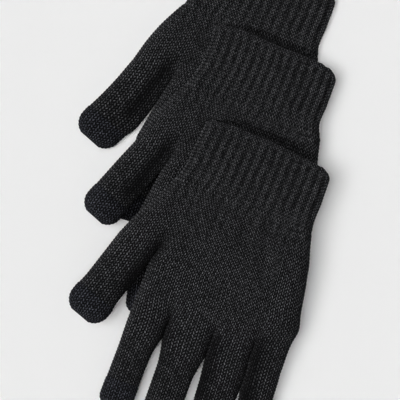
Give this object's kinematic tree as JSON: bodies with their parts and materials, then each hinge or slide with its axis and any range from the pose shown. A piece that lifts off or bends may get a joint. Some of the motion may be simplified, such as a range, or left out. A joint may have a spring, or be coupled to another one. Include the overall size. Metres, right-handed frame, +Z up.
{
  "type": "touchscreen gloves",
  "caption": "Fan of identical knitted gloves, palm up, with ribbed cuffs and conductive yarn caps on the thumb and index finger for touchscreen use.",
  "frame": {"origin": "on the resting surface, under the middle of the flat underside of the lowest glove's palm", "axes": "+Z up, +Y along the gloves towards their cuffs, thumbs on the -X side, fingers towards -Y"},
  "size_m": [0.1827, 0.2938, 0.0336],
  "materials": {
    "knit": "charcoal-black knitted acrylic yarn, plain knit with ribbed cuffs",
    "conductive_knit": "conductive yarn, plain knit, slightly bluer and smoother than the glove",
    "overlock": "overlocked edge of the same yarn",
    "elastic": "covered elastic yarn"
  },
  "bodies": {
    "lower_glove": {"lower_cuff": "knit", "lower_cuff_edge": "overlock", "lower_cuff_elastic": "elastic", "lower_hand": "knit", "lower_index_finger": "knit", "lower_index_cap": "conductive_knit", "lower_middle_finger": "knit", "lower_ring_finger": "knit", "lower_little_finger": "knit"},
    "lower_thumb": {"lower_thumb": "knit", "lower_thumb_cap": "conductive_knit"},
    "centre_glove": {"centre_cuff": "knit", "centre_cuff_edge": "overlock", "centre_cuff_elastic": "elastic", "centre_hand": "knit", "centre_index_finger": "knit", "centre_index_cap": "conductive_knit", "centre_middle_finger": "knit", "centre_ring_finger": "knit", "centre_little_finger": "knit"},
    "centre_thumb": {"centre_thumb": "knit", "centre_thumb_cap": "conductive_knit"},
    "upper_glove": {"upper_cuff": "knit", "upper_cuff_edge": "overlock", "upper_cuff_elastic": "elastic", "upper_hand": "knit"},
    "upper_thumb": {"upper_thumb": "knit", "upper_thumb_cap": "conductive_knit"},
    "upper_index": {"upper_index_finger": "knit", "upper_index_cap": "conductive_knit"},
    "upper_middle": {"upper_middle_finger": "knit"},
    "upper_ring": {"upper_ring_finger": "knit"},
    "upper_little": {"upper_little_finger": "knit"}
  },
  "joints": [
    {"name": "centre_glove_lift", "type": "slide", "parent": "lower_glove", "child": "centre_glove", "axis": [0, 0, 1], "range_m": [0, 0.06]},
    {"name": "upper_glove_lift", "type": "slide", "parent": "centre_glove", "child": "upper_glove", "axis": [0, 0, 1], "range_m": [0, 0.06]},
    {"name": "lower_thumb_bend", "type": "hinge", "parent": "lower_glove", "child": "lower_thumb", "pos_m": [-0.0626, 0.01334, 0.0103], "axis": [-0.9426, 0.3338, 0], "range_deg": [0, 60]},
    {"name": "centre_thumb_bend", "type": "hinge", "parent": "centre_glove", "child": "centre_thumb", "pos_m": [-0.0441, -0.03266, 0.0216], "axis": [-0.9426, 0.3338, 0], "range_deg": [0, 60]},
    {"name": "upper_thumb_bend", "type": "hinge", "parent": "upper_glove", "child": "upper_thumb", "pos_m": [-0.0256, -0.08916, 0.03212], "axis": [-0.9426, 0.3338, 0], "range_deg": [0, 60]},
    {"name": "upper_index_bend", "type": "hinge", "parent": "upper_glove", "child": "upper_index", "pos_m": [-0.0016, -0.1295, 0.02623], "axis": [-1, 0, 0], "range_deg": [0, 75]},
    {"name": "upper_middle_bend", "type": "hinge", "parent": "upper_glove", "child": "upper_middle", "pos_m": [0.0253, -0.1295, 0.0263], "axis": [-1, 0, 0], "range_deg": [0, 75]},
    {"name": "upper_ring_bend", "type": "hinge", "parent": "upper_glove", "child": "upper_ring", "pos_m": [0.0521, -0.1295, 0.02642], "axis": [-1, 0, 0], "range_deg": [0, 75]},
    {"name": "upper_little_bend", "type": "hinge", "parent": "upper_glove", "child": "upper_little", "pos_m": [0.07605, -0.1295, 0.02649], "axis": [-1, 0, 0], "range_deg": [0, 75]}
  ]
}
